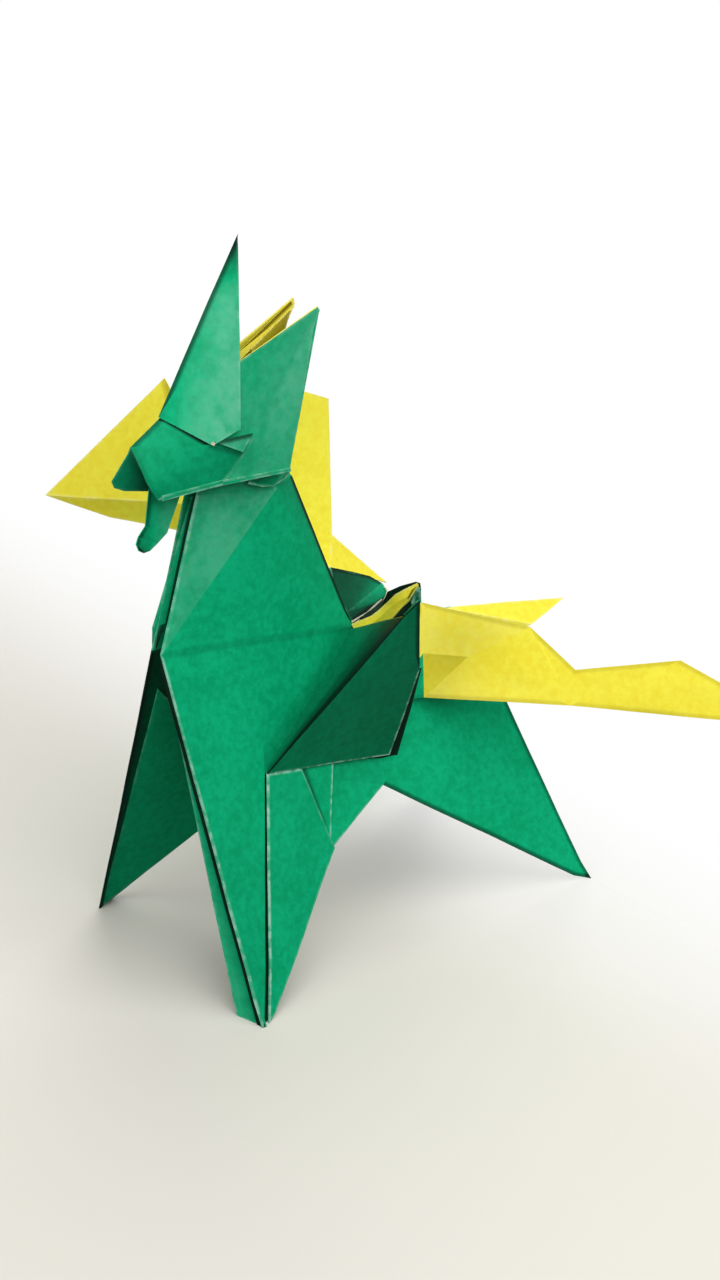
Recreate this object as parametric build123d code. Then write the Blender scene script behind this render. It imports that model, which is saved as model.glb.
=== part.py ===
import os
from build123d import *

# Origami kirin folded from one square sheet, millimetres, standing on z = 0.
# It faces -Y and its left is +X. The fold points are set out from the ground below the withers.

# Paper: packed layers of the body and head, and the thinner wings, tail and beard
ply = 0.46
thin_ply = 0.36
layer_step = 0.34
mitre_limit = 2.4
mitre_rounds = 150
mitre_pull = 1.6

# Back
withers_height = 44.4
croup_back = 18.1
croup_height = 42.6
rump_back = 21.0
rump_height = 41.2

# Neck and chest
nape_forward = 10.7
nape_height = 70.3
throat_forward = 26.9
throat_height = 71.7
throat_half = 1.3
neck_crease_forward = 15.0
neck_crease_height = 70.0
neck_crease_half = 2.4
chest_forward = 33.4
chest_height = 50.0
chest_half = 1.1
neck_base_forward = 19.0
neck_base_height = 48.9
neck_base_half = 3.0
hem_depth = 1.0
hem_half = 0.45

# Front legs
front_toe_forward = 32.96
front_toe_half = 16.6
front_heel_forward = 31.86
front_heel_half = 21.2
sole_rear_forward = 30.53
sole_rear_half = 20.35
right_leg_spread = 0.9
slit_forward = 20.6
slit_height = 30.7
slit_half = 7.4
leg_rear_forward = 11.7
leg_rear_height = 17.0
leg_rear_half = 10.8
crotch_forward = 0.4
crotch_height = 22.2
crotch_half = 8.0
sole_trim = 0.9

# Hind legs
hind_toe_back = 31.8
hind_toe_half = 19.2

# Left shoulder flap, flared out from the body: rises and drops are from the withers
flap_low_half = 7.2
flap_low_back = 1.3
flap_low_height = 26.4
flap_strip_share = 0.27
left_flap_top_half = 17.0
left_flap_top_forward = 1.2
left_flap_top_rise = 10.5
left_flap_bend_half = 15.4
left_flap_bend_forward = 2.7
left_flap_bend_rise = 8.1
left_flap_rear_half = 13.0
left_flap_rear_back = 2.0
left_flap_rear_drop = 2.2

# Pocket of the left flap: a back layer that stands up to a point, and a lower front layer
pocket_tip_half = 14.5
pocket_tip_back = 0.5
pocket_tip_rise = 11.8
pocket_lip_half = 8.3
pocket_lip_back = 0.4
pocket_lip_rise = 7.2
brim_half = 9.6
brim_forward = 0.3
brim_rise = 5.0

# Right shoulder flap, swung forward with its wing so that its inner layer lies open
right_flap_top_half = 6.5
right_flap_top_back = 1.0
right_flap_top_rise = 7.1
right_flap_shoulder_half = 6.4
right_flap_shoulder_back = 8.1
right_flap_shoulder_rise = 3.9
right_flap_end_half = 5.2
right_flap_end_back = 10.5
right_flap_end_rise = 1.5
right_flap_inner_half = 4.5
right_flap_inner_forward = 0.4
right_flap_inner_rise = 4.3
right_turn_low_half = 1.6
right_turn_low_back = 0.4
right_turn_low_rise = 1.9
right_turn_high_half = 5.2
right_turn_high_back = 8.8
right_turn_high_rise = 2.3

# Left wing, swept back and lowered
root_height = 33.0
root_back = 3.0
left_wing_root_half = 4.0
left_wing_root_back = 9.8
left_wing_root_rise = 2.75
left_wing_fold_half = 9.0
left_wing_fold_back = 14.4
left_wing_fold_height = 39.0
left_wing_foot_half = 5.3
left_wing_foot_back = 9.2
left_wing_foot_height = 32.6
left_wing_corner_half = 14.4
left_wing_corner_back = 21.7
left_wing_corner_height = 43.7
left_wing_notch_half = 21.1
left_wing_notch_back = 24.7
left_wing_notch_height = 38.5
left_wing_shoulder_half = 32.1
left_wing_shoulder_back = 34.9
left_wing_shoulder_height = 41.2
left_wing_edge_half = 22.0
left_wing_edge_back = 23.1
left_wing_edge_height = 33.5
left_wing_tip_half = 47.9
left_wing_tip_back = 44.3
left_wing_tip_height = 33.9

# Right wing, swung forward and raised
right_wing_end_half = 6.3
right_wing_end_back = 11.25
right_wing_end_rise = 2.0
right_wing_inner_half = 10.5
right_wing_inner_back = 4.3
right_wing_inner_rise = 10.1
right_wing_top_half = 14.4
right_wing_top_back = 6.7
right_wing_top_height = 74.0
right_wing_peak_half = 31.4
right_wing_peak_forward = 10.4
right_wing_peak_height = 75.9
right_wing_crease_half = 24.2
right_wing_crease_forward = 11.1
right_wing_crease_height = 58.9
right_wing_edge_half = 26.0
right_wing_edge_forward = 11.3
right_wing_edge_height = 54.0
right_wing_belly_half = 34.0
right_wing_belly_forward = 19.3
right_wing_belly_height = 55.8
right_wing_tip_half = 40.2
right_wing_tip_forward = 26.6
right_wing_tip_height = 59.1

# Tail
tail_tip_back = 41.6
tail_tip_height = 38.1
tail_low_back = 31.9
tail_low_height = 37.3
tail_low_half = 3.4
tail_foot_back = 19.0
tail_foot_height = 35.0
tail_foot_half = 2.6

# Head: hood, snout, horn, ears and beard
hood_nape_half = 4.4
hood_nape_forward = 14.0
hood_nape_height = 73.3
jaw_crease_half = 4.0
jaw_crease_forward = 24.8
jaw_crease_height = 73.7
jaw_half = 3.0
jaw_forward = 34.2
jaw_height = 73.3
muzzle_forward = 35.7
muzzle_height = 76.0
bridge_forward = 35.9
bridge_height = 79.9
brow_forward = 30.9
brow_height = 83.1
brow_step = 0.5
nose_half = 1.2
nose_forward = 38.4
nose_height = 75.5
nose_low_forward = 38.0
nose_low_height = 74.6
nose_end_half = 0.6
nose_end_forward = 36.9
nose_end_height = 74.1
mouth_half = 0.4
mouth_forward = 33.9
mouth_height = 73.65
eye_front_half = 4.4
eye_front_forward = 26.6
eye_front_height = 79.6
eye_rear_half = 4.4
eye_rear_forward = 20.0
eye_rear_height = 79.3
eye_low_forward = 21.6
eye_low_height = 77.3
crimp_lift = 0.9
horn_tip_forward = 18.5
total_height = 105.0
horn_rear_forward = 20.6
horn_rear_height = 80.3
ear_root_half = 3.0
ear_root_forward = 20.9
ear_root_height = 89.4
ear_tip_half = 1.8
ear_tip_forward = 7.3
ear_tip_height = 94.05
ear_end_half = 1.7
ear_end_forward = 6.7
ear_end_height = 93.4
ear_lining_half = 1.5
ear_lining_forward = 12.5
ear_lining_height = 88.2
beard_half = 0.5
beard_front_forward = 33.8
beard_front_height = 74.0
beard_rear_forward = 29.0
beard_rear_height = 72.0
beard_fall_front_forward = 34.6
beard_fall_front_height = 68.9
beard_fall_rear_forward = 31.25
beard_fall_rear_height = 67.2
beard_curl_half = 0.9
beard_curl_front_forward = 36.4
beard_curl_front_height = 66.9
beard_curl_rear_forward = 34.3
beard_curl_rear_height = 65.4
beard_end_half = 1.3
beard_end_forward = 35.9
beard_end_height = 65.8


def mix(p, q, share):
    return tuple(a + (b - a) * share for a, b in zip(p, q))


def mirrored(p):
    return (-p[0], p[1], p[2])


def mirrored_faces(faces, moved={}):
    return [tuple(moved.get(p, mirrored(p)) for p in reversed(face)) for face in faces]


def outward(p, step):
    return (p[0] + step, p[1], p[2])


def side_half(height):
    return crotch_half * (withers_height - height) / (withers_height - crotch_height)


def folded(faces, thickness):
    around = {}
    for a, b, c in faces:
        normal = (Vector(*b) - Vector(*a)).cross(Vector(*c) - Vector(*a)).normalized()
        for p in (a, b, c):
            around.setdefault(p, []).append(normal)
    half = thickness / 2
    lift = {}
    for p, near in around.items():
        move = Vector(0, 0, 0)
        for _ in range(mitre_rounds):
            pull = Vector(0, 0, 0)
            for normal in near:
                pull = pull + normal * (half - move.dot(normal))
            move = move + pull * (mitre_pull / len(near))
        if move.length > mitre_limit * half:
            move = move.normalized() * (mitre_limit * half)
        lift[p] = move
    top = {p: Vector(*p) + lift[p] for p in around}
    low = {p: Vector(*p) - lift[p] for p in around}
    edges = {(f[i], f[(i + 1) % 3]) for f in faces for i in range(3)}
    skin = []
    for a, b, c in faces:
        skin.append((top[a], top[b], top[c]))
        skin.append((low[c], low[b], low[a]))
    for a, b in sorted(edges):
        if (b, a) not in edges:
            skin.append((top[b], top[a], low[a]))
            skin.append((top[b], low[a], low[b]))
    return Solid(Shell([Face(Wire.make_polygon(t, close=True)) for t in skin]))


# Fold points on the middle plane and on the left side
withers = (0, 0, withers_height)
croup = (0, croup_back, croup_height)
rump = (0, rump_back, rump_height)
nape = (0, -nape_forward, nape_height)
throat = (throat_half, -throat_forward, throat_height)
neck_crease = (neck_crease_half, -neck_crease_forward, neck_crease_height)
neck_base = (neck_base_half, -neck_base_forward, neck_base_height)
chest = (chest_half, -chest_forward, chest_height)
throat_hem = (hem_half, hem_depth - throat_forward, throat_height)
chest_hem = (hem_half, hem_depth - chest_forward, chest_height)
front_toe = (front_toe_half, -front_toe_forward, -sole_trim)
front_heel = (front_heel_half, -front_heel_forward, -sole_trim)
sole_rear = (sole_rear_half, -sole_rear_forward, -sole_trim)
slit = (slit_half, -slit_forward, slit_height)
leg_rear = (leg_rear_half, -leg_rear_forward, leg_rear_height)
crotch = (crotch_half, -crotch_forward, crotch_height)
hind_toe = (hind_toe_half, hind_toe_back, -sole_trim)
eye_front = (eye_front_half, -eye_front_forward, eye_front_height)
eye_rear = (eye_rear_half, -eye_rear_forward, eye_rear_height)

# Neck, chest, legs and back: one folded tent with its ridge from the nape to the rump
side = [
    (throat, chest, neck_crease),
    (neck_crease, chest, neck_base),
    (neck_crease, neck_base, withers),
    (neck_crease, withers, nape),
    (chest, slit, neck_base),
    (neck_base, slit, withers),
    (chest, front_heel, slit),
    (chest, front_toe, front_heel),
    (front_heel, sole_rear, slit),
    (slit, sole_rear, leg_rear),
    (slit, leg_rear, crotch),
    (slit, crotch, withers),
    (withers, crotch, croup),
    (croup, crotch, rump),
    (crotch, hind_toe, rump),
    (throat, eye_rear, eye_front),
    (throat, neck_crease, eye_rear),
    (neck_crease, nape, eye_rear),
]
right_leg = {p: outward(mirrored(p), -right_leg_spread) for p in (front_toe, front_heel, sole_rear)}
body = folded(side + mirrored_faces(side, right_leg), ply)

# Hems turned in along the front edges of the neck
hem_faces = [
    (throat, throat_hem, chest),
    (chest, throat_hem, chest_hem),
]
left_hem = folded(hem_faces, thin_ply)
right_hem = folded(mirrored_faces(hem_faces), thin_ply)

# Strips over the front legs, each one sheet with its shoulder flap
flap_front = outward(slit, layer_step)
flap_low = (flap_low_half, flap_low_back, flap_low_height)
flap_strip = mix(flap_front, flap_low, flap_strip_share)
strip_rear = outward(leg_rear, layer_step)
leg_strip = [
    (flap_front, sole_rear, strip_rear),
    (flap_front, strip_rear, flap_strip),
]

# Left shoulder flap, flared, with a bend below its top corner
left_flap_top = (left_flap_top_half, -left_flap_top_forward, withers_height + left_flap_top_rise)
left_flap_bend = (left_flap_bend_half, -left_flap_bend_forward, withers_height + left_flap_bend_rise)
left_flap_rear = (left_flap_rear_half, left_flap_rear_back, withers_height - left_flap_rear_drop)
left_flap = folded(
    leg_strip
    + [
        (flap_front, flap_strip, left_flap_rear),
        (flap_strip, flap_low, left_flap_rear),
        (flap_front, left_flap_rear, left_flap_bend),
        (left_flap_bend, left_flap_rear, left_flap_top),
    ],
    ply,
)

# Pocket of the left flap, open upwards: its back layer rises from the wing's root, the front from the slit
root = (side_half(root_height), root_back, root_height)
pocket_tip = (pocket_tip_half, pocket_tip_back, withers_height + pocket_tip_rise)
pocket_lip = (pocket_lip_half, pocket_lip_back, withers_height + pocket_lip_rise)
brim = (brim_half, -brim_forward, withers_height + brim_rise)
pocket_back = folded(
    [
        (root, pocket_lip, withers),
        (root, pocket_tip, pocket_lip),
        (root, left_flap_top, pocket_tip),
    ],
    thin_ply,
)
pocket_front = folded(
    [
        (flap_front, left_flap_bend, brim),
        (flap_front, brim, withers),
    ],
    thin_ply,
)

# Left wing
left_root = (left_wing_root_half, left_wing_root_back, withers_height + left_wing_root_rise)
left_foot = (left_wing_foot_half, left_wing_foot_back, left_wing_foot_height)
left_fold = (left_wing_fold_half, left_wing_fold_back, left_wing_fold_height)
left_corner = (left_wing_corner_half, left_wing_corner_back, left_wing_corner_height)
left_notch = (left_wing_notch_half, left_wing_notch_back, left_wing_notch_height)
left_shoulder = (left_wing_shoulder_half, left_wing_shoulder_back, left_wing_shoulder_height)
left_edge = (left_wing_edge_half, left_wing_edge_back, left_wing_edge_height)
left_tip = (left_wing_tip_half, left_wing_tip_back, left_wing_tip_height)
left_wing = folded(
    [
        (root, left_foot, left_root),
        (left_root, left_foot, left_fold),
        (left_root, left_fold, left_corner),
        (left_foot, left_edge, left_fold),
        (left_fold, left_edge, left_corner),
        (left_corner, left_edge, left_notch),
        (left_notch, left_edge, left_shoulder),
        (left_shoulder, left_edge, left_tip),
    ],
    thin_ply,
)

# Right shoulder flap: the outer layer over the leg, and the inner layer with its turned crease
right_front = mirrored(flap_front)
right_flap_top = (-right_flap_top_half, right_flap_top_back, withers_height + right_flap_top_rise)
right_flap_shoulder = (
    -right_flap_shoulder_half,
    right_flap_shoulder_back,
    withers_height + right_flap_shoulder_rise,
)
right_flap_end = (-right_flap_end_half, right_flap_end_back, withers_height + right_flap_end_rise)
right_flap_inner = (-right_flap_inner_half, -right_flap_inner_forward, withers_height + right_flap_inner_rise)
right_turn_low = (-right_turn_low_half, right_turn_low_back, withers_height + right_turn_low_rise)
right_turn_high = (-right_turn_high_half, right_turn_high_back, withers_height + right_turn_high_rise)
right_flap = folded(
    mirrored_faces(leg_strip, right_leg)
    + [
        (right_front, right_flap_top, right_flap_shoulder),
        (right_front, right_flap_shoulder, right_flap_end),
        (right_front, right_flap_end, mirrored(flap_low)),
        (right_front, mirrored(flap_low), mirrored(flap_strip)),
    ],
    ply,
)
right_inner_layer = folded(
    [
        (right_turn_low, withers, right_flap_end),
        (right_turn_low, right_flap_end, right_turn_high),
        (right_turn_high, right_flap_end, right_flap_shoulder),
        (right_turn_low, right_turn_high, right_flap_shoulder),
        (right_turn_low, right_flap_shoulder, right_flap_top),
        (right_turn_low, right_flap_top, right_flap_inner),
    ],
    ply,
)

# Right wing, with a crease along its lower band
right_end = (-right_wing_end_half, right_wing_end_back, withers_height + right_wing_end_rise)
right_inner = (-right_wing_inner_half, right_wing_inner_back, withers_height + right_wing_inner_rise)
right_top = (-right_wing_top_half, right_wing_top_back, right_wing_top_height)
right_peak = (-right_wing_peak_half, -right_wing_peak_forward, right_wing_peak_height)
right_crease = (-right_wing_crease_half, -right_wing_crease_forward, right_wing_crease_height)
right_edge = (-right_wing_edge_half, -right_wing_edge_forward, right_wing_edge_height)
right_belly = (-right_wing_belly_half, -right_wing_belly_forward, right_wing_belly_height)
right_tip = (-right_wing_tip_half, -right_wing_tip_forward, right_wing_tip_height)
right_wing = folded(
    [
        (right_end, right_flap_top, right_inner),
        (right_inner, right_flap_top, right_crease),
        (right_flap_top, right_edge, right_crease),
        (right_inner, right_crease, right_top),
        (right_top, right_crease, right_peak),
        (right_peak, right_crease, right_tip),
        (right_crease, right_edge, right_belly),
        (right_crease, right_belly, right_tip),
    ],
    thin_ply,
)

# Tail, two leaves hanging from one fold
tail_tip = (0, tail_tip_back, tail_tip_height)
tail_low = (tail_low_half, tail_low_back, tail_low_height)
tail_foot = (tail_foot_half, tail_foot_back, tail_foot_height)
tail_leaf = [
    (croup, tail_foot, tail_low),
    (croup, tail_low, tail_tip),
]
tail_left = folded(tail_leaf, thin_ply)
tail_right = folded(mirrored_faces(tail_leaf), thin_ply)

# Hood and snout, folded over the top of the neck
hood_nape = (hood_nape_half, -hood_nape_forward, hood_nape_height)
jaw_crease = (jaw_crease_half, -jaw_crease_forward, jaw_crease_height)
jaw = (jaw_half, -jaw_forward, jaw_height)
muzzle = (jaw_half, -muzzle_forward, muzzle_height)
bridge = (0, -bridge_forward, bridge_height)
brow = (0, -brow_forward, brow_height)
nose = (-nose_half, -nose_forward, nose_height)
nose_low = (-nose_half, -nose_low_forward, nose_low_height)
nose_end = (-nose_end_half, -nose_end_forward, nose_end_height)
mouth = (mouth_half, -mouth_forward, mouth_height)
eye_low = (eye_rear_half, -eye_low_forward, eye_low_height)
ear_root = (ear_root_half, -ear_root_forward, ear_root_height)
ear_tip = (ear_tip_half, -ear_tip_forward, ear_tip_height)
ear_end = (ear_end_half, -ear_end_forward, ear_end_height)
hood_side = [
    (brow, bridge, eye_front),
    (bridge, muzzle, eye_front),
    (muzzle, jaw, eye_front),
    (eye_front, jaw, jaw_crease),
    (eye_front, jaw_crease, eye_low),
    (eye_front, eye_low, eye_rear),
    (eye_low, jaw_crease, hood_nape),
    (eye_low, hood_nape, eye_rear),
    (eye_rear, hood_nape, ear_end),
    (eye_rear, ear_end, ear_tip),
    (eye_rear, ear_tip, ear_root),
    (eye_front, eye_rear, ear_root),
    (brow, eye_front, ear_root),
]
hood = folded(hood_side + mirrored_faces(hood_side), ply)
far_muzzle = folded(
    [
        (bridge, nose, nose_low),
        (bridge, nose_low, nose_end),
        (bridge, nose_end, mouth),
    ],
    thin_ply,
)

# Crimp below the horn, a pleat that marks the eye
crimp_front = outward(eye_front, layer_step)
crimp_low = outward(eye_low, crimp_lift)
crimp = folded([(crimp_front, crimp_low, eye_rear)], thin_ply)

# Horn, an outer layer over the brow
horn_brow = (0, -brow_forward - brow_step, brow_height)
horn_tip = (0, -horn_tip_forward, total_height)
horn_front = outward(eye_front, layer_step)
horn_rear = (eye_rear_half + layer_step, -horn_rear_forward, horn_rear_height)
horn_back = outward(ear_root, layer_step)
horn_side = [
    (horn_brow, horn_front, horn_tip),
    (horn_front, horn_rear, horn_back),
    (horn_front, horn_back, horn_tip),
]
horn = folded(horn_side + mirrored_faces(horn_side), ply)

# Ear linings, folded in from the back edge of each ear
lining = (ear_lining_half, -ear_lining_forward, ear_lining_height)
lining_faces = [(ear_end, hood_nape, lining)]
left_lining = folded(lining_faces, ply)
right_lining = folded(mirrored_faces(lining_faces), ply)

# Beard, a tongue that hangs from the fold of the snout and curls at its end
beard_front = (beard_half, -beard_front_forward, beard_front_height)
beard_rear = (beard_half, -beard_rear_forward, beard_rear_height)
fall_front = (beard_half, -beard_fall_front_forward, beard_fall_front_height)
fall_rear = (beard_half, -beard_fall_rear_forward, beard_fall_rear_height)
curl_front = (beard_curl_half, -beard_curl_front_forward, beard_curl_front_height)
curl_rear = (beard_curl_half, -beard_curl_rear_forward, beard_curl_rear_height)
beard_end = (beard_end_half, -beard_end_forward, beard_end_height)
beard = folded(
    [
        (bridge, beard_front, beard_rear),
        (bridge, beard_rear, brow),
        (beard_front, fall_front, fall_rear),
        (beard_front, fall_rear, beard_rear),
        (fall_front, curl_front, curl_rear),
        (fall_front, curl_rear, fall_rear),
        (curl_front, beard_end, curl_rear),
    ],
    thin_ply,
)

# One sheet: every panel joined, and the soles trimmed flat on the ground
panels = [
    left_hem,
    right_hem,
    left_flap,
    pocket_back,
    pocket_front,
    left_wing,
    right_flap,
    right_inner_layer,
    right_wing,
    tail_left,
    tail_right,
    hood,
    far_muzzle,
    crimp,
    horn,
    left_lining,
    right_lining,
    beard,
]
sheet = body.fuse(*panels)
ground = Pos(0, 0, -total_height / 2) * Box(4 * total_height, 4 * total_height, total_height)
sheet = sheet.cut(ground)

# The origin goes to the middle of the finished outline, on the ground
outline = sheet.bounding_box()
sheet = Pos(-outline.center().X, -outline.center().Y, 0) * sheet

os.makedirs("parts", exist_ok=True)
export_step(sheet, "parts/folded_sheet.step")
print("solids", len(sheet.solids()), "volume", round(sheet.volume, 1), "valid", sheet.is_valid)
print("moved by", outline.center())
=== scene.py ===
import math

import bpy
from mathutils import Matrix, Vector, noise


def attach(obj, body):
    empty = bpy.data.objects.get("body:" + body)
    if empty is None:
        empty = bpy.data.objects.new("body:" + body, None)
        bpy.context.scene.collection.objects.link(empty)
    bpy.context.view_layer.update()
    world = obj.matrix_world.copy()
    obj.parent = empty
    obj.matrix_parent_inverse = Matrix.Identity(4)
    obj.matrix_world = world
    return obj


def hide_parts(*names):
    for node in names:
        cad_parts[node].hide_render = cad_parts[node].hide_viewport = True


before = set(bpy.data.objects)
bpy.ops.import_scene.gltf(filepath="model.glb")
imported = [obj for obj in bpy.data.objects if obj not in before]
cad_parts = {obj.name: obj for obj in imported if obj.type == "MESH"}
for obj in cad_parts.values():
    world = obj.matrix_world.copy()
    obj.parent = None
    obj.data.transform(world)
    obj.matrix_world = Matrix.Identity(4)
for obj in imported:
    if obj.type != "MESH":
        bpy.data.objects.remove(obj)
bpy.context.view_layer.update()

# Fold points are in millimetres from the ground below the withers; the kirin faces -Y, and its left is +X.
CENTRE = Vector((3.8378, 2.9924, 0.0))
MM_PER_M = 1000

# Half thickness of packed layers, a few layers, a turned edge, one ply, a tuck, a gap line and a crease
PACK = 0.15
FEW = 0.1
TURNED = 0.08
THIN = 0.07
TUCK = 0.06
LINE = 0.05
CREASE = 0.04

# Places of the papers in a piece's list of materials
# The fourth paper, a near-black green, is a sheet of painted shade for gaps, slots, pockets and dark rims
GREEN, YELLOW, CORE, SHADE_PAPER = range(4)

# Points along each edge of a facet, plain and for narrow trim
GRID = 12
TRIM_GRID = 4

# The slight waviness of the paper has a fixed seed
WAVE_SEED = 4
noise.seed_set(WAVE_SEED)


def mix(p, q, share):
    return tuple(a + (b - a) * share for a, b in zip(p, q))


def step(p, x=0.0, y=0.0, z=0.0):
    return (p[0] + x, p[1] + y, p[2] + z)


def flip(p):
    return (-p[0], p[1], p[2])


def twin(faces, moved={}):
    return [tuple(moved.get(p, flip(p)) for p in reversed(face)) for face in faces]


def edge(p, q):
    return frozenset((p, q))


def edges_of(pairs):
    return {edge(p, q) for p, q in pairs}


# One value for every edge along a row of points
def along(points, value):
    return {edge(p, q): value for p, q in zip(points, points[1:])}


def faces_of(points, *trios):
    return [tuple(points[i] for i in trio) for trio in trios]


def quad(a, b, c, d):
    return [(a, b, c), (a, c, d)]


def strip(first, second):
    sides = zip(first, first[1:], second[1:], second)
    return [face for side in sides for face in quad(*side)]


def fan_out(hub, points):
    return [(hub, q, p) for p, q in zip(points, points[1:])]


# Scuff and painted sheen above zero and painted shade below it, given at the corners of each face
def corner_tones(faces, tone, rest=0.0):
    return {face: tuple(tone.get(p, rest) for p in face) for face in faces}


def even_tones(faces, tone):
    return {face: (tone, tone, tone) for face in faces}


# Shader nodes: a socket with arithmetic, and one method that makes any node
class Socket:
    def __init__(self, graph, socket):
        self.graph = graph
        self.socket = socket

    def math(self, kind, *others):
        return self.graph.node("ShaderNodeMath", [self, *others], operation=kind)

    def __add__(self, other):
        return self.math("ADD", other)

    def __sub__(self, other):
        return self.math("SUBTRACT", other)

    def __mul__(self, other):
        return self.math("MULTIPLY", other)

    __radd__ = __add__
    __rmul__ = __mul__

    def __rsub__(self, other):
        return self.graph.node("ShaderNodeMath", [other, self], operation="SUBTRACT")

    def at_most(self, limit):
        return self.math("MINIMUM", limit)

    def at_least(self, limit):
        return self.math("MAXIMUM", limit)

    def ramp(self, low, high, start=0.0, end=1.0):
        inputs = [self, low, high, start, end]
        return self.graph.node("ShaderNodeMapRange", inputs, interpolation_type="SMOOTHSTEP")


class Graph:
    def __init__(self, tree):
        self.tree = tree
        tree.nodes.clear()

    def node(self, kind, inputs=(), out=0, **settings):
        made = self.tree.nodes.new(kind)
        for key, value in settings.items():
            setattr(made, key, value)
        pairs = inputs.items() if isinstance(inputs, dict) else enumerate(inputs)
        for key, value in pairs:
            if isinstance(value, Socket):
                self.tree.links.new(value.socket, made.inputs[key])
            else:
                made.inputs[key].default_value = value
        return Socket(self, made.outputs[out]) if made.outputs else None

    def blend(self, share, a, b):
        return self.node("ShaderNodeMix", {0: share, 6: a, 7: b}, out=2, data_type="RGBA")

    def split(self, vector):
        parts = self.node("ShaderNodeSeparateXYZ", [vector])
        return [Socket(self, part) for part in parts.socket.node.outputs]

    def cloud(self, place, scale, detail, rough):
        inputs = {"Vector": place, "Scale": scale, "Detail": detail, "Roughness": rough}
        return self.node("ShaderNodeTexNoise", inputs)


def srgb(r, g, b):
    def lin(v):
        v = v / 255
        return v / 12.92 if v <= 0.04045 else ((v + 0.055) / 1.055) ** 2.4
    return (lin(r), lin(g), lin(b), 1.0)


# Distances from an edge, in millimetres, over which its pale line of wear and painted highlight, its dark
# line of painted shade and its broad painted shade fade out
PALE_FADE = (0.06, 0.42)
DARK_FADE = (0.25, 0.85)
SHADE_FADE = (0.3, 3.6)

# Wear and painted light of an edge: above 0 a pale line of wear and painted highlight, to -1 a dark line of
# painted shade, to -2 a painted shade beside the line, below -2 that painted shade alone
SHADE_START = 1.0
SHADE_ONLY = 2.0

# The most that scuff and painted sheen, painted shade, a pale line and a dark line of painted shade may cover
SCUFF_AND_SHEEN_LIMIT, PAINTED_SHADE_LIMIT, PALE_LIMIT, EDGE_SHADE_LIMIT = 0.9, 0.95, 0.9, 0.96


def paper(name, dark, light, worn, scuff_and_sheen_colour, shade, rough, hold):
    made = bpy.data.materials.new(name)
    made.use_nodes = True
    g = Graph(made.node_tree)
    place = g.node("ShaderNodeTexCoord", out="Object")
    cloud = g.cloud(place, scale=140.0, detail=3.0, rough=0.6)
    fibre = g.cloud(place, scale=900.0, detail=4.0, rough=0.65)
    speck = g.cloud(place, scale=700.0, detail=2.0, rough=0.5)
    colour = g.blend((cloud * 0.35 + fibre * 0.65).ramp(0.36, 0.64), dark, light)

    # Lines along the edges: pale lines of wear and painted highlight, dark lines and broad bands of painted
    # shade
    nears = g.split(g.node("ShaderNodeAttribute", out="Vector", attribute_name="near"))
    wears = g.split(g.node("ShaderNodeAttribute", out="Vector", attribute_name="wear"))
    pale = 0.0
    edge_shade = 0.0
    for near, wear in zip(nears, wears):
        depth = wear * -1.0
        alone = depth.math("GREATER_THAN", SHADE_ONLY)
        line = depth.at_least(0.0).at_most(1.0) * (1.0 - alone)
        shading = (depth - SHADE_START - alone).at_least(0.0)
        pale = near.ramp(*PALE_FADE, 1.0, 0.0) * wear.at_least(0.0) + pale
        edge_shade = near.ramp(*DARK_FADE, 1.0, 0.0) * line + edge_shade
        edge_shade = near.ramp(*SHADE_FADE, 1.0, 0.0) * shading + edge_shade

    # Tones at the corners: scuff and painted sheen above zero, painted shade below it
    scuff = g.node("ShaderNodeAttribute", out="Fac", attribute_name="scuff")
    mottle = (cloud * 0.6 + speck * 0.4).ramp(0.34, 0.66, 0.35, 1.35)
    scuff_and_sheen = scuff.at_least(0.0) * hold * mottle
    painted_shade = (scuff * -1.0).at_least(0.0)
    patchy = speck.ramp(0.40, 0.62, 0.2, 1.0)
    colour = g.blend(scuff_and_sheen.at_most(SCUFF_AND_SHEEN_LIMIT), colour, scuff_and_sheen_colour)
    colour = g.blend(painted_shade.at_most(PAINTED_SHADE_LIMIT), colour, shade)
    colour = g.blend((pale * patchy).at_most(PALE_LIMIT), colour, worn)
    colour = g.blend(edge_shade.at_most(EDGE_SHADE_LIMIT), colour, shade)

    relief = fibre * 0.6 + cloud * 0.8
    bump = g.node("ShaderNodeBump", {"Strength": 0.3, "Distance": 0.00006, "Height": relief})
    inputs = {"Base Color": colour, "Roughness": rough, "Normal": bump, "Specular IOR Level": 0.08}
    g.node("ShaderNodeOutputMaterial", [g.node("ShaderNodeBsdfPrincipled", inputs)])
    return made


# Colours of each paper: dark and light fibres, pale edge line of wear and painted highlight, scuff and
# painted sheen, and painted shade
leaf_green = (
    srgb(0, 164, 109),
    srgb(9, 185, 129),
    srgb(170, 226, 204),
    srgb(98, 197, 156),
    srgb(0, 22, 14),
)
sun_yellow = (
    srgb(250, 230, 58),
    srgb(255, 243, 76),
    srgb(255, 250, 190),
    srgb(255, 248, 150),
    srgb(120, 104, 10),
)
bare_core = (
    srgb(214, 206, 168),
    srgb(236, 228, 196),
    srgb(248, 248, 236),
    srgb(240, 242, 228),
    srgb(120, 150, 130),
)
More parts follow.
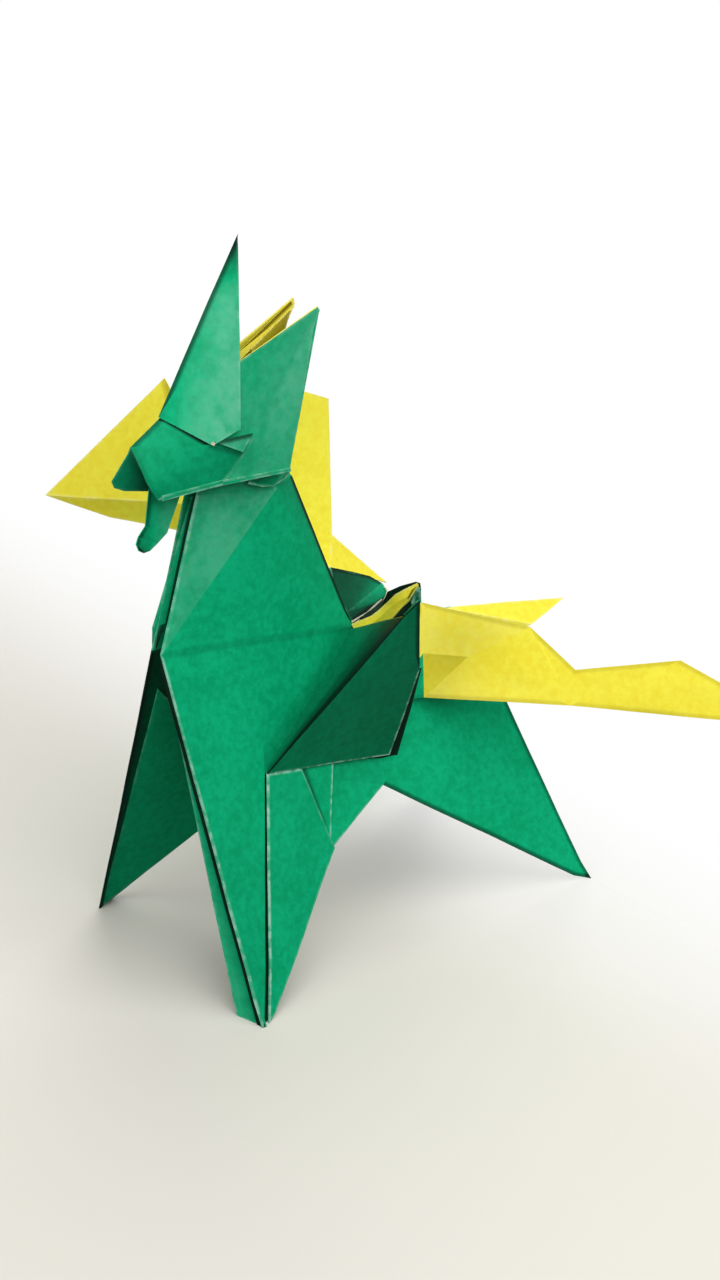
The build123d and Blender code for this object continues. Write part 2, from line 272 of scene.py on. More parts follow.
# Colours of the sheet of painted shade
painted_shade_green = (
    srgb(1, 26, 17),
    srgb(3, 36, 25),
    srgb(20, 80, 60),
    srgb(10, 50, 36),
    srgb(0, 12, 8),
)
green = paper("paper_green", *leaf_green, rough=0.55, hold=0.8)
yellow = paper("paper_yellow", *sun_yellow, rough=0.6, hold=0.3)
core = paper("paper_core", *bare_core, rough=0.7, hold=0.2)
shadow = paper("paper_pocket", *painted_shade_green, rough=0.7, hold=0.1)
green_leaf = paper("paper_green_single", *leaf_green, rough=0.55, hold=0.8)
yellow_leaf = paper("paper_yellow_single", *sun_yellow, rough=0.6, hold=0.3)
PACKED_PAPERS = (green, yellow, core, shadow)
SINGLE_PAPERS = (green_leaf, yellow_leaf, core, shadow)

# Where panels meet, a corner is mitred in small pulls, and is kept from growing into a spike
MITRE_ROUNDS = 120
MITRE_PULL = 1.6
MITRE_LIMIT = 2.4

# A fold flatter than FLAT_TURN degrees is smooth; a sharper one gets a pale line of wear and painted
# highlight as a ridge and a dark line of painted shade as a valley
FLAT_TURN = 7.0
FOLD_LINE_FROM = 5.0
FOLD_LINE_RANGE = 35.0
RIDGE_WEAR_AND_HIGHLIGHT = 0.4
VALLEY_SHADE = -0.35

# Long and short waves within a facet, none at its edges and full on facets of WAVE_SPREAD or more
LONG_WAVE = 0.11
SHORT_WAVE = 0.27
SHORT_SHARE = 0.4
FACET_SHIFT = 3.1
MIDDLE_SCALE = 27
WINDOW_GAIN = 1.5
WINDOW_POWER = 0.8
WAVE_SPREAD = 12

# Drift of the whole sheet, as pairs of frequency and size, rising from nothing at the soles
BROAD_DRIFT = (0.055, 0.16)
FINE_DRIFT = (0.16, 0.05)
CALM_HEIGHT = 8

# A distance past every fade, and the shortest edge that is measured
FAR_FROM_EDGE = 9
SHORTEST = 1e-6


def mitre(normals, half):
    move = Vector((0, 0, 0))
    for turn in range(MITRE_ROUNDS):
        pull = Vector((0, 0, 0))
        for normal in normals:
            pull += normal * (half - move.dot(normal))
        move += pull * (MITRE_PULL / len(normals))
    if move.length > MITRE_LIMIT * half:
        move = move.normalized() * MITRE_LIMIT * half
    return move


def weigh(rows, share):
    return sum((row * part for row, part in zip(rows, share)), Vector())


# Line of each fold, pale for wear and painted highlight on a ridge and dark for painted shade in a valley,
# and the group of faces that each face is smooth with
def read_folds(faces, normals, edges, soft, raw):
    group = list(range(len(faces)))
    fold = {}
    for (p, q), f in edges.items():
        g = edges.get((q, p))
        if g is None:
            fold[(p, q)] = raw
            continue
        apex = next(v for v in faces[g] if v not in (p, q))
        turn = math.degrees(normals[f].angle(normals[g], 0.0))
        rises = (Vector(apex) - Vector(p)).dot(normals[f]) > 0
        sharp = min(1.0, max(0.0, turn - FOLD_LINE_FROM) / FOLD_LINE_RANGE)
        fold[(p, q)] = (VALLEY_SHADE if rises else RIDGE_WEAR_AND_HIGHLIGHT) * sharp
        if turn < FLAT_TURN or edge(p, q) in soft:
            fold[(p, q)] = 0.0
            keep, lose = group[f], group[g]
            group = [keep if v == lose else v for v in group]
    return fold, group


# A flat facet of the sheet, with how far its corners are lifted and how its normals bend at them
class Facet:
    def __init__(self, face, index, normal, lifts, bends):
        self.corners = [Vector(p) for p in face]
        self.index = index
        self.normal = normal
        self.lifts = lifts
        self.bends = bends
        a, b, c = self.corners
        area = (b - a).cross(c - a).length
        self.heights = [area / max((q - p).length, SHORTEST) for p, q in ((b, c), (c, a), (a, b))]
        self.waviness = min(1.0, math.sqrt(area / 2) / WAVE_SPREAD)

    def middle(self, share, swell):
        flat = weigh(self.corners, share)
        inside = MIDDLE_SCALE * share[0] * share[1] * share[2]
        window = min(1.0, WINDOW_GAIN * inside ** WINDOW_POWER)
        shift = Vector((self.index * FACET_SHIFT, 0, 0))
        wave = noise.noise(flat * LONG_WAVE + shift) + SHORT_SHARE * noise.noise(flat * SHORT_WAVE)
        return flat + self.normal * (wave * window * swell * self.waviness)

    def lean(self, share):
        return weigh(self.bends, share).normalized() - self.normal


# A piece collects folded panels; each panel is a set of flat facets of even thickness
class Piece:
    def __init__(self, name, papers=PACKED_PAPERS):
        self.name = name
        self.papers = papers
        self.points, self.leans, self.polys, self.paint = [], [], [], []
        self.near, self.wear, self.scuff = [], [], []

    # Marks along the edges give pale lines of wear and painted highlight and dark lines of painted shade;
    # tones at the corners give scuff and painted sheen above zero and painted shade below it
    def panel(
        self, faces, half=PACK, front=GREEN, back=GREEN, rim=GREEN, paint={}, rims={},
        worn={}, soft=(), scuffs={}, swell=0.12, grid=GRID, raw=0.3,
    ):
        around, normals, edges = {}, [], {}
        for f, face in enumerate(faces):
            a, b, c = (Vector(p) for p in face)
            normals.append((b - a).cross(c - a).normalized())
            for i in range(3):
                around.setdefault(face[i], []).append(f)
                edges[(face[i], face[(i + 1) % 3])] = f
        lift = {p: mitre([normals[f] for f in near], half) for p, near in around.items()}
        fold, group = read_folds(faces, normals, edges, soft, raw)

        for f, face in enumerate(faces):
            bends = []
            for p in face:
                near = [normals[g] for g in around[p] if group[g] == group[f]]
                bends.append(sum(near, Vector()).normalized())
            facet = Facet(face, f, normals[f], [lift[p] for p in face], bends)
            inks = paint.get(face, (front, back))
            pairs = [(face[(k + 1) % 3], face[(k + 2) % 3]) for k in range(3)]
            for way, ink in ((1, inks[0]), (-1, inks[1])):
                marks = []
                for pair in pairs:
                    inner = (pair[1], pair[0]) in edges
                    marks.append(worn.get(edge(*pair), fold[pair] * (way if inner else 1)))
                tone = scuffs.get((face, way), scuffs.get(face, (0.0, 0.0, 0.0)))
                self.side(facet, way, ink, marks, tone, swell, grid)
            for i in range(3):
                p, q = face[i], face[(i + 1) % 3]
                if (q, p) not in edges:
                    pale = max(0.0, worn.get(edge(p, q), raw))
                    self.rim((p, q), (lift[p], lift[q]), rims.get(edge(p, q), rim), pale, grid)

    # One side of a facet as a grid of small triangles, with its distances to the edges and their lines of
    # wear and painted light
    def side(self, facet, way, ink, marks, tone, swell, grid):
        ids = {}
        for i in range(grid + 1):
            for j in range(grid + 1 - i):
                share = (1 - (i + j) / grid, i / grid, j / grid)
                ids[(i, j)] = (len(self.points), share)
                self.points.append(facet.middle(share, swell) + way * weigh(facet.lifts, share))
                self.leans.append(facet.lean(share) * way)
        for i in range(grid):
            for j in range(grid - i):
                cells = [[(i, j), (i + 1, j), (i, j + 1)]]
                if i + j < grid - 1:
                    cells.append([(i + 1, j), (i + 1, j + 1), (i, j + 1)])
                for cell in cells:
                    corners = [ids[c] for c in (cell if way == 1 else cell[::-1])]
                    self.polys.append([place for place, share in corners])
                    self.paint.append(ink)
                    for place, share in corners:
                        self.near.append([w * height for w, height in zip(share, facet.heights)])
                        self.wear.append(marks)
                        self.scuff.append(sum(t * w for t, w in zip(tone, share)))

    # The cut edge between the two sides of a facet
    def rim(self, ends, lifts, ink, pale, grid):
        last = None
        for s in range(grid + 1):
            mid = Vector(ends[0]).lerp(Vector(ends[1]), s / grid)
            rise = lifts[0].lerp(lifts[1], s / grid)
            here = (len(self.points), len(self.points) + 1)
            self.points += [mid + rise, mid - rise]
            self.leans += [Vector()] * 2
            if last:
                self.polys.append([here[0], last[0], last[1], here[1]])
                self.paint.append(ink)
                self.near += [[0, FAR_FROM_EDGE, FAR_FROM_EDGE]] * 4
                self.wear += [[pale, 0, 0]] * 4
                self.scuff += [0.0] * 4
            last = here

    # Trim of one ink on all its sides
    def trim(self, faces, ink, half, **settings):
        self.panel(faces, half, ink, ink, ink, **settings)

    def done(self):
        mesh = bpy.data.meshes.new(self.name)
        moved = []
        for p in self.points:
            calm = min(1.0, max(0.0, p.z / CALM_HEIGHT))
            broad, fine = (noise.noise_vector(p * often) * size for often, size in (BROAD_DRIFT, FINE_DRIFT))
            q = p + (broad + fine) * calm - CENTRE
            moved.append((q.x / MM_PER_M, q.y / MM_PER_M, max(q.z, 0.0) / MM_PER_M))
        mesh.from_pydata(moved, [], self.polys)
        for made in self.papers:
            mesh.materials.append(made)
        mesh.polygons.foreach_set("material_index", self.paint)
        mesh.polygons.foreach_set("use_smooth", [True] * len(self.polys))
        for name, values in (("near", self.near), ("wear", self.wear)):
            made = mesh.attributes.new(name, "FLOAT_VECTOR", "CORNER")
            made.data.foreach_set("vector", [v for row in values for v in row])
        made = mesh.attributes.new("scuff", "FLOAT", "CORNER")
        made.data.foreach_set("value", self.scuff)
        facing = [(n.vector + lean).normalized() for n, lean in zip(mesh.vertex_normals, self.leans)]
        mesh.normals_split_custom_set_from_vertices(facing)
        made = bpy.data.objects.new(self.name, mesh)
        bpy.context.scene.collection.objects.link(made)
        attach(made, "root")
        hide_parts("folded_sheet")


# Fold points of the neck, body and legs
withers = (0, 0, 44.4)
croup = (0, 18.1, 42.6)
rump = (0, 21.0, 41.2)
nape = (0, -10.7, 70.3)
throat = (1.3, -26.9, 71.7)
neck_crease = (2.4, -15.0, 70.0)
neck_base = (3.0, -19.0, 48.9)
chest = (1.1, -33.4, 50.0)
toe = (16.6, -32.96, -0.9)
heel = (21.2, -31.86, -0.9)
sole_rear = (20.3, -30.9, -0.9)
slit = (7.35, -21.0, 30.7)
leg_rear = (10.8, -11.7, 17.0)
crotch = (8.0, -0.4, 22.2)
hind_toe = (19.2, 31.8, -0.9)
neck_front = (3.2, -26.6, 78.6)
neck_rear = (2.4, -17.0, 77.0)
right_toe = (-19.57, -33.2, 0.0)
right_heel = (-20.16, -32.76, 0.0)
right_sole = (-20.9, -30.33, 0.0)
right_foot = {toe: right_toe, heel: right_heel, sole_rear: right_sole}

side = [
    (throat, chest, neck_crease),
    (neck_crease, chest, neck_base),
    (neck_crease, neck_base, withers),
    (neck_crease, withers, nape),
    (chest, slit, neck_base),
    (neck_base, slit, withers),
    (chest, heel, slit),
    (heel, sole_rear, slit),
    (slit, sole_rear, leg_rear),
    (slit, leg_rear, crotch),
    (slit, crotch, withers),
    (withers, crotch, croup),
    (croup, crotch, rump),
    (crotch, hind_toe, rump),
    (throat, neck_rear, neck_front),
    (throat, neck_crease, neck_rear),
    (neck_crease, nape, neck_rear),
]
even = [(slit, p) for p in (chest, neck_base, withers, crotch, sole_rear, heel, leg_rear)]
even += [(crotch, p) for p in (withers, rump, croup)]
even += [(neck_crease, p) for p in (neck_base, withers, nape)]
even += [(neck_base, withers)]
# Pale lines of wear and painted highlight, and dark lines and broad bands of painted shade, along the body's
# edges
body_worn = {
    edge(chest, heel): 0.75,
    edge(throat, chest): 0.6,
    edge(neck_crease, chest): 0.0,
    edge(chest, neck_base): -0.2,
    edge(neck_base, withers): -0.2,
    edge(slit, sole_rear): -1.5,
    edge(slit, withers): -2.28,
    edge(flip(chest), right_heel): -0.8,
    edge(withers, nape): -1.0,
    edge(crotch, hind_toe): -0.7,
    edge(hind_toe, rump): -0.6,
}
# Scuff and painted sheen on the neck, painted shade on the faces near the withers and under the flap
body_scuff_sheen_and_shade = {
    side[0]: (0.5, 0.3, 0.6),
    side[2]: (0.0, 0.0, -0.12),
    side[3]: (0.0, -0.12, -0.3),
    side[5]: (0.0, -0.12, -0.15),
    side[10]: (-0.12, -0.1, -0.15),
    side[15]: (0.3, 0.3, 0.2),
}
far_side = twin(side, right_foot)
# The inside of the far front leg is painted in shade
body_scuff_sheen_and_shade.update({(far_side[k], -1): (-0.8, -0.8, -0.8) for k in (4, 6)})
# These edges have a dark line of painted shade and rims of the painted shade paper
dark_edges = [(flip(chest), right_heel), (crotch, hind_toe), (hind_toe, rump)]
body = Piece("sheet_body")
body.panel(
    side + far_side,
    worn=body_worn,
    soft=edges_of(even) | edges_of((flip(p), flip(q)) for p, q in even),
    rims={edge(p, q): SHADE_PAPER for p, q in dark_edges},
    scuffs=body_scuff_sheen_and_shade,
)

# Front strips of the legs, an inner layer that shows beyond the side panels
strip_top = step(chest, -0.35, 0.4)
strip_toe = step(toe, -0.1, 0.1)
strip_heel = step(heel, 0.05, 0.55)
front_strip = [(strip_top, strip_toe, strip_heel)]
# The strip has a pale line of wear and painted highlight on its outer edge, a dark line with painted shade
# beside it on its inner edge, and painted shade at its top and heel
strip_worn = {edge(strip_top, strip_toe): 0.35, edge(strip_top, strip_heel): -1.4}
body.panel(front_strip, worn=strip_worn, scuffs={front_strip[0]: (-0.1, 0.35, -0.1)})
# A dark sheet along the front of the near leg is a painted shade line in its groove
groove = quad((0.87, -33.5, 48.05), (20.05, -31.99, -0.3), (20.9, -31.74, -0.6), (1.1, -33.31, 49.28))
body.panel(groove, half=LINE, front=SHADE_PAPER, rim=SHADE_PAPER, raw=0.0)
# The far strip is painted in shade, with rims of the painted shade paper
far_strip = twin(front_strip, {strip_toe: right_toe, strip_heel: step(right_heel, -0.05, 0.55)})
body.panel(far_strip, rim=SHADE_PAPER, scuffs=even_tones(far_strip, -0.85), raw=0.0)

# Inner layers of the front legs
inner_top = (3.35, -31.4, 42.6)
inner_foot = step(heel, -0.9, 0.5)
inner_rear = step(leg_rear, -0.5)
inner_slit = step(slit, -0.5)
inner = [(inner_top, inner_rear, inner_foot), (inner_top, inner_slit, inner_rear)]
far_foot = step(right_heel, 0.1, 0.12)
body.panel(inner, half=FEW)
body.panel(twin(inner, {inner_foot: far_foot}), half=FEW, worn={edge(flip(inner_top), far_foot): 0.15})

# Layer under the left flap, with its raw edge down the leg, a dark line of painted shade along its front edge
# and a pale line of wear and painted highlight along the other
under = ((7.33, -14.53, 29.76), (6.97, -8.76, 29.04), (11.03, -12.25, 17.29))
body.panel([under], half=THIN, worn={edge(under[0], under[2]): -0.6, edge(under[1], under[2]): 0.8})

# Hems turned in along the front edges of the neck, with dark lines of painted shade along them; the right one
# stands forward and is painted in shade, darkest towards the chest
throat_hem = (0.35, -25.9, 71.7)
chest_hem = (0.35, -32.4, 50.0)
hem = [(throat, throat_hem, chest), (chest, throat_hem, chest_hem)]
body.panel(hem, half=FEW, worn={edge(throat_hem, chest_hem): -0.9})
lip = [(-0.9, -26.36, 70.65), (-1.6, -32.9, 53.11), (-1.6, -32.97, 49.98)]
lap = [(-0.5, -25.83, 70.51), (-0.5, -31.49, 53.71), (-1.0, -32.79, 49.85)]
lip_faces = strip(lip, lap)
lip_shade = {lip[0]: 0.0, lip[1]: -0.2, lip[2]: -0.75, lap[0]: -0.2, lap[1]: -0.5, lap[2]: -0.9}
body.panel(
    lip_faces,
    half=FEW,
    scuffs=corner_tones(lip_faces, lip_shade),
    worn={edge(lip[0], lip[1]): 0.25, **along(lap, -0.9)},
    soft=edges_of(zip(lip, lap[1:])),
)

# Collar, the top edge of the neck that curls out under the hood, painted in shade at its top corner under the
# hood, with a pale line of wear and painted highlight along the curl
collar_top = (2.9, -19.34, 72.74)
collar_rear = (2.4, -12.69, 72.52)
curl = [
    (3.3, -20.12, 72.33),
    (3.3, -17.68, 71.33),
    (3.0, -15.66, 70.92),
    (2.6, -13.7, 71.21),
    (2.2, -12.39, 71.81),
]
collar = [
    (collar_top, curl[0], curl[1]),
    (collar_top, curl[1], curl[2]),
    (collar_top, curl[2], collar_rear),
    (collar_rear, curl[2], curl[3]),
    (collar_rear, curl[3], curl[4]),
]
collar_shade = {face: (-0.55, -0.1, -0.1) for face in collar}
body.panel(collar, half=TURNED, worn=along(curl, 0.9), scuffs=collar_shade)
body.done()

# Left shoulder flap with the strip over the front leg; the flap is painted in shade and the strip faintly so,
# with dark rims and a dark line of painted shade along its upper edges and pale lines of wear and painted
# highlight along its lower ones
flap_front = (8.1, -20.95, 30.75)
flap_low = (7.2, 1.31, 26.41)
flap_strip = mix(flap_front, flap_low, 0.27)
flap_rear = (13.0, 2.04, 42.16)
flap_top = (17.0, -1.2, 54.94)
flap_bend = (15.4, -2.71, 52.53)
strip_rear = step(leg_rear, 0.4)
strip_sole = (20.7, -30.53, -0.9)
leg_strip = [(flap_front, strip_sole, strip_rear), (flap_front, strip_rear, flap_strip)]
flap = [
    (flap_front, flap_strip, flap_rear),
    (flap_strip, flap_low, flap_rear),
    (flap_front, flap_rear, flap_bend),
    (flap_bend, flap_rear, flap_top),
]
flap_worn = {
    edge(flap_front, flap_strip): 0.7,
    edge(flap_strip, flap_low): 0.9,
    edge(flap_low, flap_rear): 1.0,
    edge(flap_rear, flap_top): -0.8,
    edge(flap_front, flap_bend): 0.0,
    edge(flap_bend, flap_top): 0.0,
    edge(flap_front, strip_sole): 0.9,
    edge(flap_strip, strip_rear): 0.2,
}
flap_shade = {flap_front: -0.4, flap_strip: -0.4, flap_rear: -0.6}
left_flap = Piece("sheet_flap_left")
left_flap.panel(
    leg_strip + flap,
    worn=flap_worn,
    soft=edges_of((p, flap_rear) for p in (flap_front, flap_strip, flap_bend)),
    rims=along([flap_front, flap_bend, flap_top], SHADE_PAPER),
    scuffs={**corner_tones(flap, flap_shade, rest=-0.5), **even_tones(leg_strip, -0.08)},
)
# A dark sheet in the gap behind the flap is painted shade
gap_front = step(flap_front, -0.5, 6.0)
gap_low = (6.5, 3.2, 24.95)
gap_rear = (12.0, 3.3, 41.86)
left_flap.panel([(gap_front, gap_low, gap_rear)], half=FEW, front=SHADE_PAPER, worn={edge(gap_low, gap_rear): 0.5})
# A turned crest at the top of the flap, painted in shade
crest = [
    (14.0, -1.53, 51.94),
    (15.0, -0.1, 54.02),
    (15.8, 0.03, 54.27),
    (16.2, -0.72, 53.93),
    (14.8, -2.05, 52.14),
]
crest_faces = faces_of(crest, (0, 4, 3), (0, 3, 1), (1, 3, 2))
crest_shade = {face: (-0.6, -0.6, -0.65) for face in crest_faces}
left_flap.panel(crest_faces, half=TURNED, scuffs=crest_shade, raw=0.05)
left_flap.done()

# Right shoulder flap, swung forward with its wing
right_flap = Piece("sheet_flap_right")
right_flap.panel(twin(leg_strip, {strip_sole: step(right_sole, -0.35)}))
turn_low = (-1.6, 0.35, 46.26)
turn_high = (-5.2, 8.78, 46.67)
fan = [
    (-0.6, 0.77, 44.72),
    (-3.5, 8.56, 45.11),
    (-4.2, 9.66, 45.3),
    (-5.2, 10.52, 45.87),
    (-5.8, 9.85, 46.88),
    (-6.4, 8.07, 48.27),
    (-6.6, 5.18, 49.65),
    (-6.5, 1.03, 51.54),
    (-4.5, -0.42, 48.68),
]
fan_faces = [
    (turn_low, fan[0], fan[1]),
    (turn_low, fan[1], fan[2]),
    (turn_low, fan[2], turn_high),
    (turn_high, fan[2], fan[3]),
    (turn_high, fan[3], fan[4]),
    (turn_low, turn_high, fan[4]),
]
fan_faces += [(turn_low, p, q) for p, q in zip(fan[4:], fan[5:])]
# The fan is painted in shade, with a dark line and a band of painted shadow along the edge above the raw
# ribbons, and dark lines of painted shade along its outer edges
fan_shade = {
    turn_low: -0.8,
    turn_high: -0.2,
    fan[0]: -0.7,
    fan[3]: -0.2,
    fan[4]: -0.4,
    fan[5]: -0.75,
    fan[6]: -0.85,
    fan[7]: -0.9,
    fan[8]: -0.9,
}
fan_worn = {
    edge(turn_low, turn_high): 0.05,
    edge(fan[0], fan[1]): -1.75,
    edge(fan[1], fan[2]): -1.4,
    **along(fan[4:8], -0.8),
}
fan_soft = {edge(turn_low, p) for p in fan} | {edge(turn_high, p) for p in fan[2:4]}
right_flap.panel(fan_faces, worn=fan_worn, soft=fan_soft, scuffs=corner_tones(fan_faces, fan_shade, rest=-0.45))
right_front = flip(flap_front)
flap_outside = [
    (right_front, fan[7], fan[5]),
    (right_front, fan[5], fan[3]),
    (right_front, fan[3], flip(flap_low)),
]
right_flap.panel(flap_outside, soft={edge(right_front, fan[5]), edge(right_front, fan[3])})

# Raw edges of the right flap, two narrow ribbons of bare core
raw_high = [(-0.5, 0.3, 45.21), (-1.9, 4.23, 45.14), (-3.3, 8.0, 45.68)]
raw_low = [(-0.5, 0.41, 45.01), (-1.9, 4.36, 44.95), (-3.3, 8.16, 45.49)]
turn_in = [
    (-0.3, 0.45, 44.88),
    (-1.6, 3.99, 44.83),
    (-2.9, 7.89, 45.45),
    (-3.5, 8.92, 45.92),
    (-4.3, 9.75, 46.11),
    (-4.6, 9.81, 46.39),
    (-5.0, 9.74, 46.61),
]
turn_out = [
    (-0.3, 0.56, 44.69),
    (-1.6, 4.13, 44.63),
    (-2.9, 8.06, 45.27),
    (-3.5, 9.14, 45.79),
    (-4.3, 9.98, 46.05),
    (-4.6, 10.01, 46.44),
    (-5.0, 9.91, 46.7),
]
for high, low in ((raw_high, raw_low), (turn_in, turn_out)):
    for corners in zip(high, low, low[1:], high[1:]):
        right_flap.trim(quad(*corners), CORE, LINE, swell=0.0, grid=TRIM_GRID)
right_flap.done()

# Left pocket: outer layer painted dark as shade, the gap beside it painted as shade, and yellow inner layer
# with a pale line of wear and painted highlight along its rim
ROOT_HEIGHT = 33.0
root_side = crotch[0] * (withers[2] - ROOT_HEIGHT) / (withers[2] - crotch[2])
root = (root_side, 3.0, ROOT_HEIGHT)
outer = [
    (-0.1, 0.3, 44.7),
    (3.9, 0.66, 47.69),
    (5.9, 1.04, 49.8),
    (7.4, 0.79, 52.5),
    (10.0, 0.91, 54.19),
    (13.2, 1.04, 55.9),
    (14.0, 1.18, 55.92),
    (14.0, 1.41, 54.86),
]
pocket = [
    (0.3, -0.11, 45.08),
    (4.5, 0.2, 47.77),
    (6.2, 0.21, 49.24),
    (8.3, 0.34, 51.35),
    (9.7, 0.39, 52.82),
    (11.6, 0.42, 54.21),
    (14.5, 0.47, 56.19),
]
left_pocket = Piece("sheet_pocket_left")
left_pocket.panel(
    fan_out(step(root, 0, 0.6), outer),
    half=FEW,
    front=SHADE_PAPER,
    rim=SHADE_PAPER,
    swell=0.05,
    raw=0.0,
)
gap = [
    (-0.6, 0.55, 44.5),
    (-3.2, 8.11, 45.31),
    (-3.9, 9.39, 45.57),
    (-4.5, 10.3, 45.95),
    (2.0, 3.92, 47.1),
    (2.0, 1.98, 46.31),
]
gap_faces = faces_of(gap, (0, 5, 1), (1, 5, 4), (1, 4, 2), (2, 4, 3))
left_pocket.trim(gap_faces, SHADE_PAPER, LINE, swell=0.0, grid=TRIM_GRID, raw=0.0)
rim_pairs = list(zip(pocket, pocket[1:]))
left_pocket.panel(
    fan_out(root, pocket) + [(p, q, step(root, 0, 3.0)) for p, q in rim_pairs],
    half=TURNED,
    front=YELLOW,
    rim=YELLOW,
    swell=0.05,
    worn=along(pocket, 0.4),
    soft=edges_of(rim_pairs) | {edge(root, p) for p in pocket},
)

# Green layer in front of the pocket, painted with the shade of the flap, darkest along the flap's edge
breast = (7.7, -20.62, 30.52)
breast_in = (7.25, -20.85, 30.6)
brim = [(0.0, -0.15, 44.3), (6.6, -0.27, 47.8), (9.6, -0.3, 49.38), (13.6, -1.26, 51.42)]
before = [
    (breast, brim[3], brim[2]),
    (breast, brim[2], brim[1]),
    (breast, brim[1], breast_in),
    (breast_in, brim[1], brim[0]),
]
before_shade = {
    before[0]: (-0.94, -0.95, -0.9),
    before[1]: (-0.84, -0.9, -0.78),
    before[2]: (-0.78, -0.78, -0.62),
    before[3]: (-0.62, -0.78, -0.5),
}
left_pocket.panel(
    before,
    half=LINE,
    swell=0.05,
    worn={edge(breast, brim[3]): -1.85, edge(breast_in, brim[0]): 0.0},
    soft={edge(breast, brim[1]), edge(breast, brim[2]), edge(breast_in, brim[1])},
    scuffs=before_shade,
    raw=0.1,
)

# Slot painted dark as shade, and folded point painted in shade, at the pocket's upper end
slot = [
    (9.4, -0.05, 49.31),
    (12.2, -0.15, 52.23),
    (13.4, 0.12, 53.94),
    (13.9, 0.08, 53.21),
    (13.2, -0.9, 51.33),
]
point = [
    (13.3, 0.02, 53.86),
    (14.8, 0.14, 55.87),
    (15.0, 0.55, 55.89),
    (15.4, 0.36, 54.04),
    (14.2, -0.34, 53.28),
]
slot_faces, point_faces = (faces_of(points, (0, 4, 1), (1, 4, 3), (1, 3, 2)) for points in (slot, point))
point_shade = {face: (-0.82, -0.82, -0.75) for face in point_faces}
left_pocket.panel(slot_faces, half=TUCK, front=SHADE_PAPER, rim=SHADE_PAPER, swell=0.0, raw=0.0)
left_pocket.panel(point_faces, half=TUCK, swell=0.0, scuffs=point_shade, raw=0.1)

# Pale rim of the yellow layer, and the crease beside it painted dark as shade
lens_high = [(9.7, -0.35, 49.57), (10.9, -0.41, 50.94), (13.6, -0.22, 53.98), (14.95, -0.06, 56.33)]
lens_low = [(9.7, -0.15, 49.35), (10.9, -0.21, 50.71), (13.6, -0.02, 53.76), (14.95, 0.14, 56.11)]
for corners in zip(lens_high, lens_low, lens_low[1:], lens_high[1:]):
    loop = quad(*corners)
    left_pocket.trim(loop, YELLOW, LINE, scuffs=even_tones(loop, 1.5), swell=0.0, grid=TRIM_GRID)
crease = [
    (14.8, -0.09, 56.17),
    (13.9, -0.22, 55.26),
    (12.9, -0.23, 53.54),
    (13.2, -0.09, 53.67),
    (14.3, -0.07, 55.27),
]
crease_faces = faces_of(crease, (0, 1, 4), (1, 2, 3), (1, 3, 4))
crease_shade = even_tones(crease_faces, -0.85)
left_pocket.trim(crease_faces, YELLOW, CREASE, scuffs=crease_shade, swell=0.0, grid=TRIM_GRID, raw=0.0)
left_pocket.done()

# Left wing; the faces near its root are lightened with painted highlight, the band below them is painted in
# shadow, and its open edges have a thin dark line of painted shade
WING_SWELL = 0.25
left_root = (1.5, 11.65, 45.85)
left_foot = (5.3, 9.2, 32.6)
left_mid = mix(left_root, left_foot, 0.54)
left_fold = (9.0, 14.37, 39.02)
left_corner = (14.4, 21.7, 43.7)
left_notch = (21.1, 24.7, 38.5)
left_shoulder = (32.1, 34.9, 41.2)
left_edge = (22.0, 23.1, 33.5)
left_tip = (47.9, 44.3, 33.9)
left_faces = [
    (root, left_foot, left_mid),
    (root, left_mid, left_root),
    (left_root, left_mid, left_fold),
    (left_mid, left_foot, left_fold),
    (left_root, left_fold, left_corner),
    (left_foot, left_edge, left_fold),
    (left_fold, left_edge, left_corner),
    (left_corner, left_edge, left_notch),
    (left_notch, left_edge, left_shoulder),
    (left_shoulder, left_edge, left_tip),
]
left_even = [(left_edge, p) for p in (left_corner, left_notch, left_shoulder, left_fold)]
left_even += [(left_root, left_fold), (left_mid, left_fold), (left_root, left_mid), (root, left_mid)]
left_plain = [(left_foot, left_fold), (left_fold, left_corner)]
left_plain += [(left_mid, p) for p in (root, left_root, left_foot)]
left_wing = Piece("sheet_wing_left", SINGLE_PAPERS)
left_wing.panel(
    left_faces,
    half=THIN,
    front=YELLOW,
    rim=YELLOW,
    paint={left_faces[0]: (GREEN, GREEN)},
    worn={edge(p, q): 0.0 for p, q in left_plain},
    soft=edges_of(left_even),
    scuffs={
        left_faces[1]: (0.8, 0.8, 0.8),
        left_faces[2]: (0.8, 0.8, 0.8),
        left_faces[3]: (-0.32, -0.05, -0.3),
        left_faces[4]: (0.8, 0.8, 0.3),
        left_faces[5]: (0.6, 0.0, 0.2),
    },
    swell=WING_SWELL,
    raw=-0.25,
)
left_wing.done()

# Right wing, with faint painted shade on two faces near its peak and tip
right_root = (-6.6, 1.1, 51.5)
right_end = (-6.3, 11.25, 46.44)
right_inner = (-10.5, 4.28, 54.54)
right_upper = (-14.4, 6.7, 74.2)
right_crown = (-17.8, 3.3, 75.36)
right_dip = (-28.5, -10.27, 73.35)
right_peak = (-31.4, -10.57, 76.21)
right_edge = (-25.4, -11.72, 54.26)
right_crease = (-24.2, -11.1, 58.86)
right_belly = (-34.0, -19.33, 55.8)
right_tip = (-40.2, -26.6, 59.1)
right_faces = [
    (right_end, right_root, right_inner),
    (right_inner, right_root, right_crease),
    (right_root, right_edge, right_crease),
    (right_inner, right_crease, right_upper),
    (right_upper, right_crease, right_crown),
    (right_crown, right_crease, right_dip),
    (right_dip, right_crease, right_peak),
    (right_peak, right_crease, right_tip),
    (right_crease, right_edge, right_belly),
    (right_crease, right_belly, right_tip),
]
right_even = (right_inner, right_belly, right_upper, right_crown, right_dip)
right_wing = Piece("sheet_wing_right", SINGLE_PAPERS)
